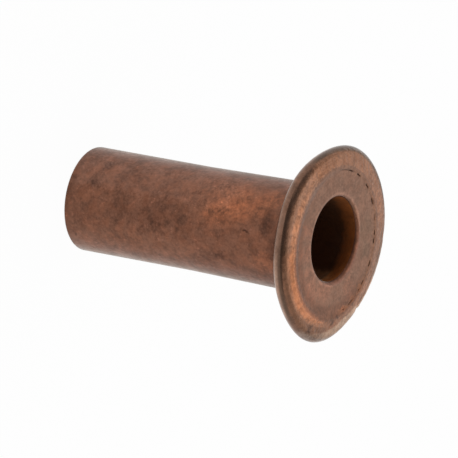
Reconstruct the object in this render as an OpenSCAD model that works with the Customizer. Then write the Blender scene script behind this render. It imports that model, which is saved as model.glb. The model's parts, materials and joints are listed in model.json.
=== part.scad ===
// Tubular rivet: a length of copper tube with one end upset into a flat head.
// The bore runs right through. The rivet stands on its plain end, with its
// axis on Z and the head at the top. All lengths are in millimetres.

/* [Shank] */
// Outside diameter of the shank at its plain end
shank_d = 5; // [4.6:0.1:6]
// Thickness of the tube's wall
wall = 0.5; // [0.3:0.05:0.9]
// Length of the shank from its plain end to the underside of the head
shank_length = 12.85; // [9:0.05:40]
// Length of shank below the neck that heading has swollen
swell_length = 6.3; // [1:0.1:12]
// Growth in diameter of the shank where it meets the head
swell = 0.25; // [0.02:0.01:0.6]
// Rounding of both edges of the plain end
end_round = 0.1; // [0.02:0.01:0.22]

/* [Head] */
// Outside diameter of the head
head_d = 9.3; // [8.4:0.05:16]
// Thickness of the head at the pressed flat
head_thickness = 0.87; // [0.6:0.01:2]
// Thickness of the round rim
rim_thickness = 0.79; // [0.3:0.01:0.88]
// Diameter of the flat pressed into the face around the bore
flat_d = 7; // [4.8:0.05:8]
// Depth of the pressed flat below the ring around it
flat_depth = 0.05; // [0.02:0.01:0.2]
// Rounding of the bore's mouth
mouth_round = 0.17; // [0.02:0.01:0.3]
// Fillet between the shank and the underside of the head
neck_fillet = 0.3; // [0.1:0.05:0.8]

/* [Hidden] */
$fn = 128;
copper = [0.49, 0.33, 0.26];

shank_r = shank_d / 2;
bore_r = shank_r - wall;
neck_r = shank_r + swell / 2;
neck_z = shank_length - neck_fillet;
fillet_centre = [neck_r + neck_fillet, neck_z];
swell_z = neck_z - swell_length;

flat_r = flat_d / 2;
flat_z = shank_length + head_thickness;
ring_crest = [flat_r, flat_z + flat_depth];
rim_r = rim_thickness / 2;
rim_centre = [head_d / 2 - rim_r, shank_length + rim_r];
ring_foot = tangent_point(ring_crest, rim_centre, rim_r);

// Where a straight line from a point touches the upper side of a circle
function tangent_point(point, centre, radius) =
    let (
        to_centre = centre - point,
        distance = norm(to_centre),
        reach = sqrt(distance * distance - radius * radius),
        bearing = atan2(to_centre.y, to_centre.x) + asin(radius / distance)
    )
    point + reach * [cos(bearing), sin(bearing)];

// Area between a square corner at the origin and the arc that rounds it off.
// The arc's centre lies on the diagonal that toward points along.
module corner_area(radius, toward) {
    centre = radius * toward;
    difference() {
        polygon([[0, 0], [centre.x, 0], centre, [0, centre.y]]);
        translate(centre) circle(radius);
    }
}

// Half section with the rim rounded and the other edges still square. A square
// block fills the corner under the head, where the neck's fillet is cut.
module blank_section() {
    polygon([
        [bore_r, 0],
        [shank_r, 0],
        [shank_r, swell_z],
        [neck_r, neck_z],
        fillet_centre,
        [fillet_centre.x, shank_length],
        [rim_centre.x, shank_length],
        rim_centre,
        ring_foot,
        ring_crest,
        [flat_r, flat_z],
        [bore_r, flat_z]
    ]);
    translate(rim_centre) circle(rim_r);
}

module rivet() {
    color(copper)
        rotate_extrude()
            difference() {
                blank_section();
                translate(fillet_centre) circle(neck_fillet);
                translate([bore_r, 0]) corner_area(end_round, [1, 1]);
                translate([shank_r, 0]) corner_area(end_round, [-1, 1]);
                translate([bore_r, flat_z]) corner_area(mouth_round, [1, -1]);
            }
}

rivet();
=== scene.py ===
import json
import math

import bmesh
import bpy
from mathutils import Matrix, Vector


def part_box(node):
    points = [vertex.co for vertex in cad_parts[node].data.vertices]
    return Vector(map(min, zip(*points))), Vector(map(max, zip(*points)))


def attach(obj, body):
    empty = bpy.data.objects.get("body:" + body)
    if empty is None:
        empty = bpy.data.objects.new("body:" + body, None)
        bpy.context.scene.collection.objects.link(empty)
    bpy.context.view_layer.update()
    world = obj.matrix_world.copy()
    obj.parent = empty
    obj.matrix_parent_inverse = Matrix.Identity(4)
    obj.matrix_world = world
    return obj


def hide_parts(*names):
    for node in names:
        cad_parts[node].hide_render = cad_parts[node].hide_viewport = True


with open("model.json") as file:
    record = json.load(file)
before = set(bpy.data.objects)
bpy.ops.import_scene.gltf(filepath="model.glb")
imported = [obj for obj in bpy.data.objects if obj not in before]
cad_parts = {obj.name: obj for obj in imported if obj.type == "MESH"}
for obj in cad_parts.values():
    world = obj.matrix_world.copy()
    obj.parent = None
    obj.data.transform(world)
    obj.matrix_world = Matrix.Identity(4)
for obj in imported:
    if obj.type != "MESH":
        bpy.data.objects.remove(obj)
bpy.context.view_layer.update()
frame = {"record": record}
mm = 0.001
closeBy = 0.002 * mm             # nearer than this counts as the same place

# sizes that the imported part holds
mounts = {mount["name"]: mount for mount in frame["record"]["mounts"]}
boreRadius = mounts["bore"]["dims"]["r_mm"] * mm
shankRadius = mounts["shank"]["dims"]["r_mm"] * mm
seatHeight = mounts["seat"]["pos_m"][2]
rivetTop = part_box("rivet")[1]
headRadius = rivetTop.x
crestHeight = rivetTop.z

rivetShape = {
    "sides": 512,
    "swellStart": 6.25 * mm,     # height at which the shank starts to swell
    "swell": 0.125 * mm,         # growth in radius by the time it meets the head
    "neckFillet": 0.3 * mm,
    "endRound": 0.1 * mm,
    "mouthRound": 0.17 * mm,
    "rimRadius": 0.395 * mm,
    "flatRadius": 3.5 * mm,      # edge of the flat that the punch pressed
    "flatDepth": 0.035 * mm,
    "lip": 0.16 * mm,            # half the width of the soft step round the flat
    "headStep": 0.05 * mm,       # spacing of the rings on the face
    "shankStep": 0.4 * mm,       # and everywhere else
    "rimSteps": 28,              # faces round the section of the rim
    "lipSteps": 8,               # across the soft step
    "roundSteps": 5,             # and across a rounded edge
    "smoothAngle": math.radians(40),
}
flatHeight = crestHeight - rivetShape["flatDepth"]

rivetFaults = {                  # angles are in degrees round the axis, from +X towards +Y
    "pulls": [                   # rings that the punch dragged: half width, shift, growth and reach of each
        ("mouthRadius", 0.09 * mm, (-0.17 * mm, -0.29 * mm, 0), 1.012, 1.3 * mm),
        ("flatRadius", 0.25 * mm, (0, -0.16 * mm, 0), 1.0, 0.5 * mm),
    ],
    "lobes": [                   # the rim isn't quite round: number, height and angle of the first lobe
        (0, -0.02 * mm, 0), (1, 0.05 * mm, 135), (2, 0.065 * mm, 145), (3, 0.11 * mm, 5),
        (4, 0.04 * mm, 85), (5, 0.025 * mm, 15), (6, 0.02 * mm, 60),
    ],
    "nicks": [                   # angle, half span and depth of the dents in the rim
        (47.5, 3, 0.08 * mm), (100, 5, 0.03 * mm),
    ],
    "pitDepth": 0.1 * mm,
    "pits": [                    # angle, half span, half width, and share of that depth
        (182, 16, 0.03 * mm, 0.3), (177, 4, 0.035 * mm, 0.45), (164, 4, 0.04 * mm, 0.6),
        (147, 3.2, 0.045 * mm, 0.75), (131, 3.8, 0.05 * mm, 0.9), (115, 2.5, 0.03 * mm, 0.3),
        (104, 2.6, 0.04 * mm, 0.7), (97.5, 2.6, 0.045 * mm, 0.75), (79.5, 3.8, 0.035 * mm, 0.45),
        (63, 3.2, 0.03 * mm, 0.35), (56, 2, 0.03 * mm, 0.25), (42, 6, 0.03 * mm, 0.25),
        (31, 1.8, 0.035 * mm, 0.35), (100, 75, 0.03 * mm, 0.12),
    ],
    "grainSize": 0.2 * mm,       # rough skin of the ring
    "grainHeight": 0.03 * mm,
    "burnishEdge": [             # angle, and radius at which the rubbed and painted bright part of the ring ends there
        (0, 4.0 * mm), (12, 3.95 * mm), (60, 4.6 * mm), (190, 4.45 * mm), (240, 4.4 * mm),
        (270, 4.35 * mm), (300, 4.29 * mm), (330, 4.22 * mm), (345, 4.1 * mm), (360, 4.0 * mm),
    ],
    "burnishShare": [            # and how strongly it is rubbed and brightened by painted highlight
        (0, 0.5), (10, 0.1), (40, 0.3), (60, 0.5), (85, 0.15), (105, 0.15), (122, 0.4), (138, 0.3),
        (160, 0.1), (215, 0.1), (240, 0.4), (256, 0.68), (285, 0.72), (310, 1.0), (345, 1.0), (360, 0.5),
    ],
    "skinStart": [               # angle, and angle round the rim's section at which its dark skin starts
        (0, 0), (150, 0), (165, 5), (180, 14), (195, 30), (210, 42), (225, 55), (360, 55),
    ],
    "wornStart": [               # angle, and radius at which the painted highlight along the head's edge starts there
        (0, 4.1 * mm), (15, 3.95 * mm), (30, 3.85 * mm), (45, 3.88 * mm), (49, 4.12 * mm),
        (105, 4.22 * mm), (330, 4.5 * mm), (345, 4.38 * mm), (360, 4.1 * mm),
    ],
    "wornShare": [               # and how strong that painted highlight is
        (0, 0.5), (15, 0.85), (30, 1.0), (75, 0.9), (105, 0), (335, 0), (345, 0.6), (360, 0.5),
    ],
}
flatShift = Vector(rivetFaults["pulls"][1][2])
rivetShape["mouthRadius"] = boreRadius + rivetShape["mouthRound"] / 2


def editBmesh(piece):
    return bmesh.from_edit_mesh(piece.data)


def selectVerts(piece, chosen):
    bpy.ops.mesh.select_mode(type="VERT")
    bpy.ops.mesh.select_all(action="DESELECT")
    mesh = editBmesh(piece)
    for vert in mesh.verts:
        vert.select_set(vert.index in chosen)
    mesh.select_flush(True)
    bmesh.update_edit_mesh(piece.data)


def selectEdges(piece, test):
    bpy.ops.mesh.select_mode(type="EDGE")
    bpy.ops.mesh.select_all(action="DESELECT")
    mesh = editBmesh(piece)
    for edge in mesh.edges:
        edge.select_set(test(edge))
    bmesh.update_edit_mesh(piece.data)


def place(co):                   # radius and height of a point, in microns, to compare safely
    return round(co.xy.length * 1e6), round(co.z * 1e6)


def turnOf(co):                  # angle of a point round the axis, in degrees from 0 to 360
    return math.degrees(math.atan2(co.y, co.x) % math.tau)


def rise(low, high, value):      # smooth step from 0 to 1
    share = min(max((value - low) / (high - low), 0), 1)
    return share * share * (3 - 2 * share)


def band(value, start, full, fades, end):        # rises to 1 over the first two, falls over the last two
    return rise(start, full, value) * (1 - rise(fades, end, value))


def bandOverZero(turn, start, full, fades, end):  # the same for angles on both sides of 0 degrees
    return rise(start, full, turn) if turn > 180 else 1 - rise(fades, end, turn)


def atRing(radius, height):
    return lambda edge: all(
        math.hypot(vert.co.xy.length - radius, vert.co.z - height) < closeBy for vert in edge.verts
    )


def rimArc():                    # rings round the rim, from under it to where the ring's fall meets it
    radius = rivetShape["rimRadius"]
    centre = Vector((headRadius - radius, seatHeight + radius))
    toCentre = centre - Vector((rivetShape["flatRadius"] + rivetShape["lip"], crestHeight))
    slope = math.atan2(toCentre.y, toCentre.x) + math.asin(radius / toCentre.length)
    steps = rivetShape["rimSteps"]
    start, end = -math.pi / 2, slope + math.pi / 2
    for step in range(steps + 1):
        angle = start + (end - start) * step / steps
        yield centre.x + radius * math.cos(angle), centre.y + radius * math.sin(angle)


def flatStep():                  # soft step down from the ring to the flat
    steps = rivetShape["lipSteps"]
    for step in range(steps + 1):
        share = step / steps
        radius = rivetShape["flatRadius"] + rivetShape["lip"] * (1 - 2 * share)
        yield radius, crestHeight - rivetShape["flatDepth"] * rise(0, 1, share)


def turnRivet():
    rings = [
        (boreRadius, 0),
        (shankRadius, 0),
        (shankRadius, rivetShape["swellStart"]),
        (shankRadius + rivetShape["swell"], seatHeight),
        *rimArc(),
        *flatStep(),
        (boreRadius, flatHeight),
    ]
    bpy.ops.object.select_all(action="DESELECT")
    bpy.ops.mesh.primitive_circle_add(vertices=rivetShape["sides"], radius=boreRadius)
    piece = bpy.context.object
    piece.name = piece.data.name = "headed_tube"
    bpy.ops.object.mode_set(mode="EDIT")
    bpy.ops.mesh.select_all(action="SELECT")
    for (radius, height), (nextRadius, nextHeight) in zip(rings, rings[1:]):
        bpy.ops.mesh.extrude_region_move(TRANSFORM_OT_translate={"value": (0, 0, nextHeight - height)})
        bpy.ops.transform.resize(value=(nextRadius / radius, nextRadius / radius, 1))
    selectEdges(piece, lambda edge: edge.is_boundary)
    bpy.ops.mesh.bridge_edge_loops()             # the bore's wall
    bpy.ops.mesh.select_all(action="SELECT")
    bpy.ops.mesh.normals_make_consistent(inside=False)
    return piece


def roundEdges(piece):
    corners = [
        (boreRadius, 0, "endRound"),
        (shankRadius, 0, "endRound"),
        (boreRadius, flatHeight, "mouthRound"),
        (shankRadius + rivetShape["swell"], seatHeight, "neckFillet"),
    ]
    for radius, height, size in corners:
        selectEdges(piece, atRing(radius, height))
        bpy.ops.mesh.bevel(offset=rivetShape[size], segments=rivetShape["roundSteps"], affect="EDGES")


def refineBands(piece):          # adds rings wherever two neighbours lie too far apart
    bands = {}
    for edge in editBmesh(piece).edges:
        ends = tuple(sorted(place(vert.co) for vert in edge.verts))
        if ends[0] != ends[1]:
            bands[ends] = math.dist(*ends) * 1e-6
    for ends, length in bands.items():
        onFace = min(height for radius, height in ends) * 1e-6 > seatHeight + 0.01 * mm
        step = rivetShape["headStep"] if onFace else rivetShape["shankStep"]
        cuts = math.ceil(length / step) - 1
        if cuts > 0:
            selectEdges(piece, lambda edge: tuple(sorted(place(vert.co) for vert in edge.verts)) == ends)
            bpy.ops.mesh.subdivide(number_cuts=cuts)


def paint(piece, zones):         # keeps values from 0 to 1 on every vertex, for the materials
    for name, shade in zones.items():
        mesh = editBmesh(piece)
        layer = mesh.verts.layers.float.new(name)
        for vert in mesh.verts:
            vert[layer] = shade(vert.co)
        bmesh.update_edit_mesh(piece.data)


def inPit(co):                   # slits along the step, where metal folded over beside the punch
    if co.z < flatHeight - closeBy:
        return 0
    turn = turnOf(co)
    across = abs(co.xy.length - rivetShape["flatRadius"])
    depths = [
        share * (1 - rise(0.4, 1, abs(turn - middle) / half)) * (1 - rise(0.3, 1, across / width))
        for middle, half, width, share in rivetFaults["pits"]
    ]
    return max(depths)


def roundRim(co):                # angle round the section of the rim, from 0 on top to 180 below
    if co.z < seatHeight - closeBy:
        return 180
    radius = rivetShape["rimRadius"]
    out = co.xy.length - headRadius + radius
    return math.degrees(math.atan2(max(out, 0), co.z - seatHeight - radius))


def along(table, turn):          # value that a table of faults gives for an angle
    table = rivetFaults[table]
    for (start, first), (end, last) in zip(table, table[1:]):
        if start <= turn <= end:
            return first + (last - first) * (turn - start) / (end - start)
    return table[-1][1]


def onRim(co):                   # smoother outside of the rim
    return rise(20, 60, roundRim(co))


def onSkinAndShade(co):                  # dark skin at the rim's far edge and beside the edge highlight, and painted shade in a band low on the rim
    angle, turn = roundRim(co), turnOf(co)
    start = along("skinStart", turn)
    far = band(angle, start, start + 22, 85, 110) * band(turn, 98, 135, 208, 232)
    # painted shade: dark band low on the rim, on the side from -Y round to +X
    shadeBelow = band(angle, 50, 74, 84, 104) * band(turn, 262, 288, 320, 345)
    fromEdgeLight = abs(co.xy.length - along("wornStart", turn) + 0.04 * mm)
    beside = (1 - rise(0.02 * mm, 0.1 * mm, fromEdgeLight)) * band(turn, 46, 52, 98, 120)
    beside *= rise(0, 0.1 * mm, co.z - seatHeight - rivetShape["rimRadius"])
    return max(far, 0.7 * shadeBelow, 0.8 * beside)


def paintedUnderHighlight(co):                 # painted highlight: paler below the rim's widest line
    share = 0.35 + 0.65 * band(turnOf(co), 278, 298, 325, 345)
    return band(roundRim(co), 78, 115, 140, 170) * share


def paintedEdgeLight(co):                  # painted highlight along the edge of the head
    turn = turnOf(co)
    start = along("wornStart", turn)
    end = 75 if turn > 180 else 75 - 35 * rise(0, 45, turn)
    fade = 1 - rise(end, end + 30, roundRim(co))
    return rise(start, start + 0.2 * mm, co.xy.length) * fade * along("wornShare", turn)


def fromFlat(co):                # distance outside the edge of the flat, where that ends up
    return (co.xy - flatShift.xy).length - rivetShape["flatRadius"]


def onRing(co):                  # 0 on the pressed flat, 1 on the ring round it
    return rise(-0.1 * mm, 0.05 * mm, fromFlat(co))


def onStain(co):                 # reddish brown of the flat beside the ring, on the near side and below
    across = band(fromFlat(co), -0.75 * mm, -0.25 * mm, 0.1 * mm, 0.3 * mm)
    return across * bandOverZero(turnOf(co), 225, 290, 40, 85)


def onMouthHighlight(co):                 # painted highlight along the rounded edge of the bore's mouth
    edge = boreRadius + 0.9 * rivetShape["mouthRound"]
    across = 1 - rise(0, 0.14 * mm, abs(co.xy.length - edge))
    return across * rise(-0.12 * mm, -0.03 * mm, co.z - flatHeight)


def paintedUpperLight(co):                 # painted light: a paler stretch down one side of the shank, up to the rubbed patch near the head
    return band(turnOf(co), 206, 238, 246, 266) * (1 - rise(8 * mm, 10 * mm, co.z))


def paintedLowerLight(co):                 # painted light: a fainter paler stretch down another side
    return band(turnOf(co), 284, 312, 335, 358) * (1 - rise(6.5 * mm, 9 * mm, co.z))


def paintedTailShade(co):                  # painted shade: darker edge of the plain end
    return 1 - rise(0.1 * mm, 0.45 * mm, co.z)


def shadeInBore(co):                  # painted shade: 0 at the bore's mouth, 1 in its dark depth
    return rise(0.15 * mm, 1.3 * mm, flatHeight - co.z)


def paintedBoreLight(co):                 # painted light on the lower wall a little way inside the mouth
    share = bandOverZero(turnOf(co), 315, 345, 28, 62)
    return share * band(flatHeight - co.z, 0.2 * mm, 1.1 * mm, 1.6 * mm, 3.2 * mm)


def onBurnishAndHighlight(co):               # the part of the ring that is rubbed bright, with a painted highlight on it
    if co.z < crestHeight - 0.3 * mm:
        return 0
    turn = turnOf(co)
    outer = co.xy.length - along("burnishEdge", turn)
    across = rise(-0.2 * mm, 0.35 * mm, fromFlat(co)) * (1 - rise(-0.3 * mm, 0.06 * mm, outer))
    return across * along("burnishShare", turn)


def onTarnishAndShade(co):               # the brown part of the ring outside that: tarnish, darkened further as painted shade on the side from -Y round to +X
    if co.z < seatHeight + rivetShape["rimRadius"]:
        return 0
    turn = turnOf(co)
    outer = rise(-0.03 * mm, 0.05 * mm, co.xy.length - along("burnishEdge", turn))
    outer *= 1 - 0.75 * rise(0.05 * mm, 0.17 * mm, seatHeight + 2 * rivetShape["rimRadius"] - co.z)
    return outer * bandOverZero(turn, 255, 288, 0, 14)


def cutPits(piece):
    mesh = editBmesh(piece)
    crevice = mesh.verts.layers.float["crevice"]
    for vert in mesh.verts:
        vert.co.z -= rivetFaults["pitDepth"] * vert[crevice]
    bmesh.update_edit_mesh(piece.data)


def pushOffAxis(piece):          # the mouth and the flat sit off the shank's axis
    lowest = flatHeight - rivetShape["mouthRound"] - 0.01 * mm
    picked = []
    for ring, half, _, _, _ in rivetFaults["pulls"]:
        radius = rivetShape[ring]
        picked.append({
            vert.index for vert in editBmesh(piece).verts
            if vert.co.z > lowest and abs(vert.co.xy.length - radius) < half
        })
    for chosen, (_, _, shift, growth, reach) in zip(picked, rivetFaults["pulls"]):
        selectVerts(piece, chosen)
        soft = {
            "use_proportional_edit": True,
            "use_proportional_connected": True,
            "proportional_edit_falloff": "SMOOTH",
            "proportional_size": reach,
        }
        bpy.ops.transform.resize(value=(growth, growth, 1), **soft)
        bpy.ops.transform.translate(value=shift, **soft)


def bendRim(piece):              # lobes and nicks in the outline of the head
    mesh = editBmesh(piece)
    inner = rivetShape["flatRadius"] + 0.3 * mm
    for vert in mesh.verts:
        radius = vert.co.xy.length
        if radius > inner:
            turn = turnOf(vert.co)
            move = 0
            for count, height, first in rivetFaults["lobes"]:
                move += height * math.cos(math.radians(count * (turn - first)))
            for middle, half, depth in rivetFaults["nicks"]:
                move -= depth * (1 - rise(0, half, abs(turn - middle)))
            vert.co.xy *= 1 + move * (radius - inner) / (headRadius - inner) / radius
    bmesh.update_edit_mesh(piece.data)


def roughenRing(piece):
    bpy.ops.object.mode_set(mode="OBJECT")
    ring = piece.vertex_groups.new(name="ring")
    for vert in piece.data.vertices:
        outside = fromFlat(vert.co) - rivetShape["lip"]
        if outside > 0 and vert.co.z > seatHeight + rivetShape["rimRadius"]:
            share = rise(0, 0.15 * mm, outside) * (1 - rise(20, 70, roundRim(vert.co)))
            ring.add([vert.index], share, "REPLACE")
    grain = bpy.data.textures.new("ringGrain", "CLOUDS")
    grain.noise_scale = rivetFaults["grainSize"]
    grain.noise_depth = 2
    skin = piece.modifiers.new("skin", "DISPLACE")
    skin.texture = grain
    skin.vertex_group = ring.name
    skin.strength = rivetFaults["grainHeight"]
    bpy.ops.object.modifier_apply(modifier=skin.name)


zonesOfSection = {               # painted by place on the true section
    "crevice": inPit, "rim": onRim, "skin": onSkinAndShade, "under": paintedUnderHighlight, "worn": paintedEdgeLight, "mouth": onMouthHighlight,
}
zonesAsMade = {                  # painted after the faults have moved the points of the head
    "ring": onRing, "stain": onStain, "burnish": onBurnishAndHighlight, "tarnishAndShade": onTarnishAndShade, "depth": shadeInBore,
    "boreLight": paintedBoreLight, "upper": paintedUpperLight, "lowerLight": paintedLowerLight, "tailShade": paintedTailShade,
}

rivet = turnRivet()
roundEdges(rivet)
refineBands(rivet)
paint(rivet, zonesOfSection)
cutPits(rivet)
pushOffAxis(rivet)
bendRim(rivet)
paint(rivet, zonesAsMade)
roughenRing(rivet)
print("rivet turned:", len(rivet.data.polygons), "faces")


# materials
def addNode(tree, kind, **settings):
    node = tree.nodes.new(kind)
    for name, value in settings.items():
        setattr(node, name, value)
    return node


def feed(tree, target, source):  # links a socket, or sets a plain value
    if isinstance(source, bpy.types.NodeSocket):
        tree.links.new(source, target)
    else:
        target.default_value = source


def sums(tree, operation, *values):
    node = addNode(tree, "ShaderNodeMath", operation=operation)
    for socket, value in zip(node.inputs, values):
        feed(tree, socket, value)
    return node.outputs[0]


def vectorSums(tree, operation, *values):
    node = addNode(tree, "ShaderNodeVectorMath", operation=operation)
    for socket, value in zip(node.inputs, values):
        feed(tree, socket, value)
    return node.outputs["Value" if operation in ("LENGTH", "DOT_PRODUCT") else "Vector"]


def ramp(tree, value, low, high, atLow=0.0, atHigh=1.0):
    node = addNode(tree, "ShaderNodeMapRange", interpolation_type="SMOOTHSTEP")
    for name, source in (("Value", value), ("From Min", low), ("From Max", high),
                         ("To Min", atLow), ("To Max", atHigh)):
        feed(tree, node.inputs[name], source)
    return node.outputs["Result"]


def channelOf(tree, colour, channel):
    node = addNode(tree, "ShaderNodeSeparateColor")
    feed(tree, node.inputs[0], colour)
    return node.outputs[channel]


def blend(tree, share, first, second, kind="MIX"):
    node = addNode(tree, "ShaderNodeMix", data_type="RGBA", blend_type=kind)
    feed(tree, node.inputs["Factor"], share)
    for name, colour in (("A", first), ("B", second)):
        feed(tree, node.inputs[name], (*colour, 1) if isinstance(colour, tuple) else colour)
    return node.outputs["Result"]


def startGroup(name, inputs, outputs):
    group = bpy.data.node_groups.new(name, "ShaderNodeTree")
    for title, kind in inputs:
        group.interface.new_socket(title, in_out="INPUT", socket_type="NodeSocket" + kind)
    for title, kind in outputs:
        group.interface.new_socket(title, in_out="OUTPUT", socket_type="NodeSocket" + kind)
    return group, addNode(group, "NodeGroupInput").outputs, addNode(group, "NodeGroupOutput").inputs


def useGroup(tree, group, **values):
    node = addNode(tree, "ShaderNodeGroup", node_tree=group)
    for title, value in values.items():
        feed(tree, node.inputs[title], value)
    return node.outputs


patinaSet = {
    "layers": [                  # name, share of the scale, and detail
        ("Clouds", 0.22, 3.0), ("Mottle", 0.9, 3.0), ("Grain", 2.8, 2.0),
    ],
    "roughness": 0.6,
    "distortion": 0.2,
    "warmth": (0.38, 0.66),      # range of the mottling over which the copper turns warm
    "flecks": (0.6, 0.72),       # range of the grain over which it is flecked
    "wander": 0.6 * mm,          # how far the edge of a mark wanders
    "relief": 0.02 * mm,         # height of the grain
}


def buildPatina():               # tone of old copper: slow clouds, mottling and fine grain around 0.5
    group, given, result = startGroup(
        "copperPatina",
        [("Coordinates", "Vector"), ("Scale", "Float"), ("Seed", "Float")]
        + [(name, "Float") for name, _, _ in patinaSet["layers"]],
        [("Tone", "Float"), ("Warmth", "Float"), ("Height", "Float"),
         ("Wander", "Color"), ("Flecks", "Float")],
    )
    tone = 0.5
    for name, times, detail in patinaSet["layers"]:
        noise = addNode(group, "ShaderNodeTexNoise", noise_dimensions="4D")
        noise.inputs["Detail"].default_value = detail
        noise.inputs["Roughness"].default_value = patinaSet["roughness"]
        noise.inputs["Distortion"].default_value = patinaSet["distortion"]
        feed(group, noise.inputs["Vector"], given["Coordinates"])
        feed(group, noise.inputs["W"], given["Seed"])
        feed(group, noise.inputs["Scale"], sums(group, "MULTIPLY", given["Scale"], times))
        swing = sums(group, "SUBTRACT", noise.outputs["Fac"], 0.5)
        tone = sums(group, "MULTIPLY_ADD", swing, given[name], tone)
        if name == "Mottle":
            green = channelOf(group, noise.outputs["Color"], "Green")
            feed(group, result["Warmth"], ramp(group, green, *patinaSet["warmth"]))
            feed(group, result["Wander"], noise.outputs["Color"])
        if name == "Grain":
            blue = channelOf(group, noise.outputs["Color"], "Blue")
            feed(group, result["Flecks"], ramp(group, blue, *patinaSet["flecks"]))
            feed(group, result["Height"], noise.outputs["Fac"])
    feed(group, result["Tone"], tone)
    return group


def buildMark():                 # blot round a point, with a soft edge that wanders
    group, given, result = startGroup(
        "copperMark",
        [("Coordinates", "Vector"), ("Wander", "Color"), ("Middle", "Vector"), ("Reach", "Vector")],
        [("Mask", "Float")],
    )
    wander = vectorSums(group, "SUBTRACT", given["Wander"], (0.5, 0.5, 0.5))
    wander = vectorSums(group, "MULTIPLY", wander, (patinaSet["wander"],) * 3)
    moved = vectorSums(group, "ADD", given["Coordinates"], wander)
    offset = vectorSums(group, "SUBTRACT", moved, given["Middle"])
    distance = vectorSums(group, "LENGTH", vectorSums(group, "DIVIDE", offset, given["Reach"]))
    feed(group, result["Mask"], ramp(group, distance, 0.2, 1.0, 1.0, 0.0))
    return group


patina = buildPatina()
mark = buildMark()


def onShank(height, angle):      # point on the shank's skin
    radius = shankRadius + rivetShape["swell"] / 2
    return radius * math.cos(math.radians(angle)), radius * math.sin(math.radians(angle)), height * mm


def copperMaterial(name, look):
    material = bpy.data.materials.new(name)
    material.use_nodes = True
    tree = material.node_tree
    shader = tree.nodes["Principled BSDF"]
    coords = addNode(tree, "ShaderNodeTexCoord").outputs["Object"]
    skin = useGroup(
        tree, patina, Coordinates=coords, Scale=look["scale"], Seed=look["seed"],
        Clouds=look["clouds"], Mottle=look["mottle"], Grain=look["grain"],
    )
    colour = blend(tree, skin["Tone"], look["dull"], look["bright"])
    colour = blend(tree, sums(tree, "MULTIPLY", skin["Warmth"], look["warmShare"]), colour, look["warm"])
    colour = blend(tree, skin["Flecks"], colour, look["fleck"], "MULTIPLY")
    unevenness = sums(tree, "SUBTRACT", skin["Tone"], 0.5)
    roughness = ramp(tree, skin["Tone"], 0.2, 0.8, *look["roughness"])
    height = skin["Height"]
    for zone, times, ragged, polish, relief in look.get("zones", []):
        shown = addNode(tree, "ShaderNodeAttribute", attribute_name=zone).outputs["Fac"]
        roughness = sums(tree, "MULTIPLY_ADD", shown, -polish, roughness)
        height = sums(tree, "MULTIPLY", height, ramp(tree, shown, 0.0, 1.0, 1.0, relief))
        if ragged:
            shown = sums(tree, "MULTIPLY_ADD", unevenness, ragged, shown)
            shown = ramp(tree, shown, 0.15, 0.85)
        colour = blend(tree, shown, colour, times, "MULTIPLY")
    for times, strength, ragged, spots in look.get("marks", []):
        share = sums(tree, "MULTIPLY_ADD", unevenness, ragged, strength)
        share = ramp(tree, share, 0.0, 1.0)
        for middle, reach in spots:
            blot = useGroup(
                tree, mark, Coordinates=coords, Wander=skin["Wander"], Middle=middle, Reach=reach,
            )
            colour = blend(tree, sums(tree, "MULTIPLY", blot["Mask"], share), colour, times, "MULTIPLY")
    for socket, value in look.get("sheen", {}).items():      # dusty gloss where it is seen at a slant
        feed(tree, shader.inputs["Sheen " + socket], value)
    feed(tree, shader.inputs["Base Color"], colour)
    feed(tree, shader.inputs["Roughness"], roughness)
    feed(tree, shader.inputs["Metallic"], look["metallic"])
    bump = addNode(tree, "ShaderNodeBump")
    feed(tree, bump.inputs["Strength"], look["bump"])
    feed(tree, bump.inputs["Distance"], patinaSet["relief"])
    feed(tree, bump.inputs["Height"], height)
    feed(tree, shader.inputs["Normal"], bump.outputs["Normal"])
    return material


# tints that the marks multiply the copper by
orange, pink, gold, pale = (1.55, 1.35, 1.15), (1.3, 1.12, 1.05), (1.3, 1.15, 0.9), (1.0, 1.12, 1.27)
olive, brownAndShade, dark = (0.84, 0.89, 0.86), (0.5, 0.5, 0.52), (0.25, 0.25, 0.28)


def shankSpots(*spots):          # height, angle, and half the width and length of each, in millimetres
    return [
        (onShank(height, angle), (wide * mm, wide * mm, long * mm))
        for height, angle, wide, long in spots
    ]


def faceSpots(*spots):           # place on the face and half the width of each, in millimetres
    return [((x * mm, y * mm, flatHeight), (wide * mm, wide * mm, wide * mm)) for x, y, wide in spots]


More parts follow.
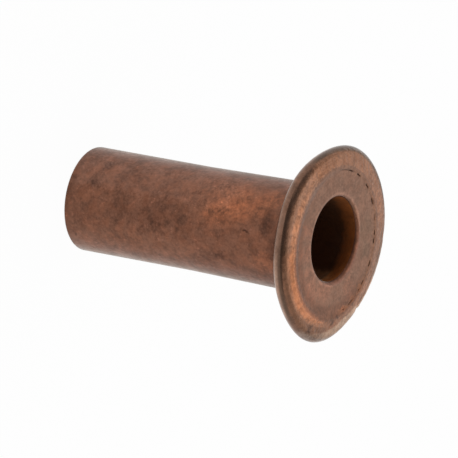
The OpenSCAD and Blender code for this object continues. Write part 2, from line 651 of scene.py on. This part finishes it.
shankLook = {
    "scale": 2600, "seed": 1.3, "clouds": 1.1, "mottle": 1.1, "grain": 1.1, "fleck": (1.35, 1.35, 1.4),
    "dull": (0.125, 0.056, 0.035), "bright": (0.27, 0.117, 0.071),
    "warm": (0.34, 0.12, 0.06), "warmShare": 0.3,
    "metallic": 0.9, "roughness": (0.5, 0.36), "bump": 0.35,
    "sheen": {"Weight": 1.0, "Roughness": 0.3, "Tint": (1.0, 0.94, 0.86, 1)},
    "zones": [                   # painted zone, tint, how patchy, how much smoother, share of relief kept
        # painted light: paler bands down two sides of the shank
        ("upper", (1.1, 1.18, 1.27), 0.8, 0.0, 1.0),
        ("lowerLight", (1.08, 1.12, 1.14), 0.6, 0.0, 1.0),
        # painted shade at the plain end
        ("tailShade", (0.82, 0.8, 0.77), 0.8, 0.0, 1.0),
    ],
    "marks": [                   # tint, strength, how patchy, and places
        (orange, 0.4, 0.6, shankSpots(
            (10.9, 246, 0.7, 0.8), (8.4, 266, 0.9, 1.1), (11.2, 306, 0.8, 0.9), (11.2, 234, 0.7, 0.9),
            (9.6, 84, 0.7, 1.2), (4.4, 118, 0.6, 0.9), (10.6, 152, 0.5, 0.9), (7.4, 28, 0.6, 1.0),
        )),
        (orange, 0.5, 0.5, shankSpots((8.9, 246, 1.5, 2.8))),
        (orange, 0.35, 0.5, shankSpots((9.2, 255, 1.0, 1.9))),
        (brownAndShade, 0.5, -0.8, shankSpots(
            (0.25, 249, 0.35, 0.2), (0.5, 312, 0.3, 0.3), (1.6, 227, 0.4, 0.4), (1.4, 252, 0.35, 0.3),
            (7.0, 242, 0.2, 0.55), (9.1, 209, 0.2, 0.45), (7.8, 315, 0.25, 0.6), (8.7, 307, 0.4, 0.5),
            (2.2, 60, 0.7, 0.8), (6.8, 130, 0.6, 0.9), (11.0, 58, 0.8, 0.8), (3.6, 8, 0.6, 0.7),
        )),
        # painted shade: darker patches down the middle of the side of the shank that faces -Y
        (brownAndShade, 0.4, -0.3, shankSpots(
            (5.4, 271, 1.3, 1.4), (3.2, 276, 1.0, 1.0), (6.6, 276, 0.8, 0.8), (4.6, 282, 1.2, 1.5),
        )),
        # painted shadow of the head on the shank beside it
        (brownAndShade, 0.9, -0.6, shankSpots((11.2, 262, 1.0, 0.5), (12.4, 285, 2.4, 1.3))),
        (dark, 0.8, 0.0, shankSpots((10.2, 275, 0.12, 0.25))),
    ],
}
faceLook = {
    "scale": 2600, "seed": 4.1, "clouds": 0.75, "mottle": 1.5, "grain": 1.6, "fleck": (1.2, 1.2, 1.22),
    "dull": (0.14, 0.071, 0.044), "bright": (0.255, 0.129, 0.079),
    "warm": (0.27, 0.119, 0.067), "warmShare": 0.3,
    "metallic": 0.9, "roughness": (0.42, 0.32), "bump": 0.4,
    "zones": [
        ("stain", (0.87, 0.77, 0.71), 0.8, 0.0, 1.0),
        ("ring", (1.37, 1.27, 1.15), 0.5, 0.0, 4.0),
        # tarnish and painted shade
        ("tarnishAndShade", (0.74, 0.77, 0.8), 0.6, 0.0, 1.0),
        # rubbed copper and painted highlight
        ("burnish", (1.55, 1.35, 1.17), 0.4, 0.03, 1.0),
        ("rim", (0.9, 0.94, 1.0), 0.0, 0.16, 0.2),
        # painted highlight under the rim
        ("under", (1.95, 2.3, 2.55), 0.0, 0.0, 1.0),
        # dark skin, and painted shade low on the rim
        ("skin", (0.6, 0.68, 0.7), 0.3, 0.0, 1.0),
        # painted highlight along the head's edge
        ("worn", (1.5, 2.05, 2.5), 0.4, 0.0, 1.0),
        # painted highlight round the bore's mouth
        ("mouth", (1.36, 1.36, 1.42), 0.0, 0.06, 1.0),
        # dark oxide and painted shade in the slits
        ("crevice", (0.22, 0.18, 0.17), 0.0, 0.0, 1.0),
    ],
    "marks": [
        (pink, 0.6, 0.6, faceSpots(
            (2.3, -0.4, 0.9), (2.5, -1.45, 0.7), (3.0, 1.6, 0.3), (1.95, -2.0, 0.8),
            (0.8, -2.7, 0.7), (-0.3, -2.8, 0.6), (1.9, 1.75, 0.8),
        )),
        (olive, 0.7, 0.3, faceSpots((-0.9, 2.4, 0.9), (0.1, 2.7, 0.6))),
        (pale, 0.8, 0.3, faceSpots(
            (-2.4, -3.3, 0.9), (-1.5, -3.8, 0.9), (-0.5, -4.1, 0.9), (0.4, -4.1, 0.7),
        )),
        (gold, 0.55, 0.6, faceSpots(
            (3.05, 1.5, 0.35), (2.9, 1.8, 0.25), (2.4, 2.35, 0.25), (1.8, 2.8, 0.4),
        )),
        (dark, 0.5, -0.6, faceSpots(
            (4.2, -0.97, 0.35), (3.66, 0.89, 0.25), (3.4, 1.2, 0.14), (3.15, 1.62, 0.12),
        )),
    ],
}
boreLook = {
    "scale": 1900, "seed": 2.9, "clouds": 1.4, "mottle": 1.6, "grain": 0.5, "fleck": (1.1, 1.1, 1.1),
    "dull": (0.26, 0.085, 0.022), "bright": (0.5, 0.17, 0.042),
    "warm": (0.55, 0.17, 0.035), "warmShare": 0.4,
    "metallic": 0.6, "roughness": (0.7, 0.6), "bump": 0.2,
    "zones": [
        # painted shade deep in the bore
        ("depth", (0.28, 0.34, 0.55), 0.6, 0.0, 1.0),
        # painted light on the lower wall near the mouth
        ("boreLight", (3.2, 4.1, 5.2), 0.3, 0.0, 1.0),
    ],
}


def onHead(co, normal):          # the head, apart from the fillet below it
    outside = co.xy.length > 3.0 * mm or co.z > flatHeight - 0.3 * mm
    return outside and co.z > seatHeight - 0.02 * mm and co.xy.length > boreRadius


def onBoreWall(co, normal):      # faces the axis, below the rounding of the mouth
    inward = co.xy.dot(normal.xy) < 0 and co.xy.length < boreRadius + 0.4 * mm
    return inward and co.z < flatHeight - 0.8 * rivetShape["mouthRound"]


def dressRivet(piece):
    finishes = [                 # the last one that fits a face is used
        ("tarnished_shank", shankLook, lambda co, normal: True),
        ("pressed_face", faceLook, onHead),
        ("dark_bore", boreLook, onBoreWall),
    ]
    for name, look, _ in finishes:
        piece.data.materials.append(copperMaterial(name, look))
    for face in piece.data.polygons:
        for index, (_, _, test) in enumerate(finishes):
            if test(face.center, face.normal):
                face.material_index = index
    bpy.ops.object.shade_smooth_by_angle(angle=rivetShape["smoothAngle"])


dressRivet(rivet)
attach(rivet, "root")
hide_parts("rivet")
print("rivet dressed")

# stage, light and camera
stageSet = {
    "floorSize": 1.2,
    "floorColour": (0.92, 0.92, 0.92),
    "floorLift": 0.97,           # share of plain white that the camera and the metal see in the floor
    "roomLevel": 0.85,           # brightness of the room
    "darks": [                   # darker parts of the room: direction, cosines at edge and core, light left
        ((0, -0.96, 0.28), 0.5, 0.93, 0.2),
        ((0.82, -0.57, 0.03), 0.93, 0.99, 0.45),
        ((-0.72, -0.2, 0.66), 0.8, 0.95, 0.35),
    ],
    "lamps": [                   # name, place and size in metres, brightness of its face
        ("backBox", (0, 0.16, 0.2), 0.2, 0.5),
    ],
}


def seenDirectly(tree, *rays):   # 1 for the kinds of ray that are named
    path = addNode(tree, "ShaderNodeLightPath")
    seen = 0.0
    for ray in rays:
        seen = sums(tree, "MAXIMUM", seen, path.outputs[ray])
    return seen


def layFloor():
    bpy.ops.object.select_all(action="DESELECT")
    bpy.ops.mesh.primitive_plane_add(size=stageSet["floorSize"])
    floor = bpy.context.object
    floor.name = "paper_floor"
    material = bpy.data.materials.new("white_paper")
    material.use_nodes = True
    tree = material.node_tree
    paper = tree.nodes["Principled BSDF"]
    paper.inputs["Base Color"].default_value = (*stageSet["floorColour"], 1)
    paper.inputs["Roughness"].default_value = 0.9
    paper.inputs["Specular IOR Level"].default_value = 0.0
    white = addNode(tree, "ShaderNodeEmission")
    seen = seenDirectly(tree, "Is Camera Ray", "Is Glossy Ray", "Is Transmission Ray")
    mix = addNode(tree, "ShaderNodeMixShader")
    feed(tree, mix.inputs["Fac"], sums(tree, "MULTIPLY", seen, stageSet["floorLift"]))
    feed(tree, mix.inputs[1], paper.outputs["BSDF"])
    feed(tree, mix.inputs[2], white.outputs["Emission"])
    feed(tree, tree.nodes["Material Output"].inputs["Surface"], mix.outputs[0])
    floor.data.materials.append(material)


def lightStage():
    world = bpy.data.worlds.new("white_room")
    bpy.context.scene.world = world
    world.use_nodes = True
    tree = world.node_tree
    room = tree.nodes["Background"]
    room.inputs["Color"].default_value = (1, 1, 1, 1)
    direction = addNode(tree, "ShaderNodeTexCoord").outputs["Generated"]
    level = stageSet["roomLevel"]
    for middle, edge, core, left in stageSet["darks"]:
        facing = vectorSums(tree, "DOT_PRODUCT", direction, middle)
        level = sums(tree, "MULTIPLY", level, ramp(tree, facing, edge, core, 1.0, left))
    feed(tree, room.inputs["Strength"], sums(tree, "MAXIMUM", level, seenDirectly(tree, "Is Camera Ray")))
    aim = Vector((0, 0, crestHeight / 2))
    for name, spot, size, brightness in stageSet["lamps"]:
        bpy.ops.object.light_add(type="AREA", location=spot)
        lamp = bpy.context.object
        lamp.name = lamp.data.name = name
        lamp.data.size = size
        lamp.data.energy = brightness * math.pi * size * size
        lamp.rotation_euler = (aim - Vector(spot)).to_track_quat("-Z", "Y").to_euler()


photoView = {
    "frame": 458,                # width of the picture, in pixels
    "faceAt": (337.4, 243.7),    # pixel of the middle of the head's face
    "pixelsPerMetre": 21270,
    "tilt": math.radians(59.47),  # between the rivet's axis and the line to the camera
    "turn": math.radians(10.47),  # of the axis below the picture's level
    "distance": 0.44,
    "sensor": 36,
}


def placeCamera():
    view = photoView
    back = Vector((0, -math.sin(view["tilt"]), math.cos(view["tilt"])))
    axial = (Vector((0, 0, 1)) - back.z * back).normalized()
    across = back.cross(axial)
    right = math.cos(view["turn"]) * axial + math.sin(view["turn"]) * across
    up = math.cos(view["turn"]) * across - math.sin(view["turn"]) * axial
    offset = [(pixel - view["frame"] / 2) / view["pixelsPerMetre"] for pixel in view["faceAt"]]
    face = Vector((0, 0, flatHeight))
    spot = face - offset[0] * right + offset[1] * up + view["distance"] * back
    lens = view["sensor"] * view["pixelsPerMetre"] * view["distance"] / view["frame"]
    bpy.ops.object.camera_add()
    camera = bpy.context.object
    camera.data.sensor_width = view["sensor"]
    camera.data.lens = lens
    camera.data.clip_start = 0.01
    camera.matrix_world = Matrix.Translation(spot) @ Matrix((right, up, back)).transposed().to_4x4()
    bpy.context.scene.camera = camera


layFloor()
lightStage()
placeCamera()
bpy.context.scene.view_settings.view_transform = "Standard"
print("stage set")
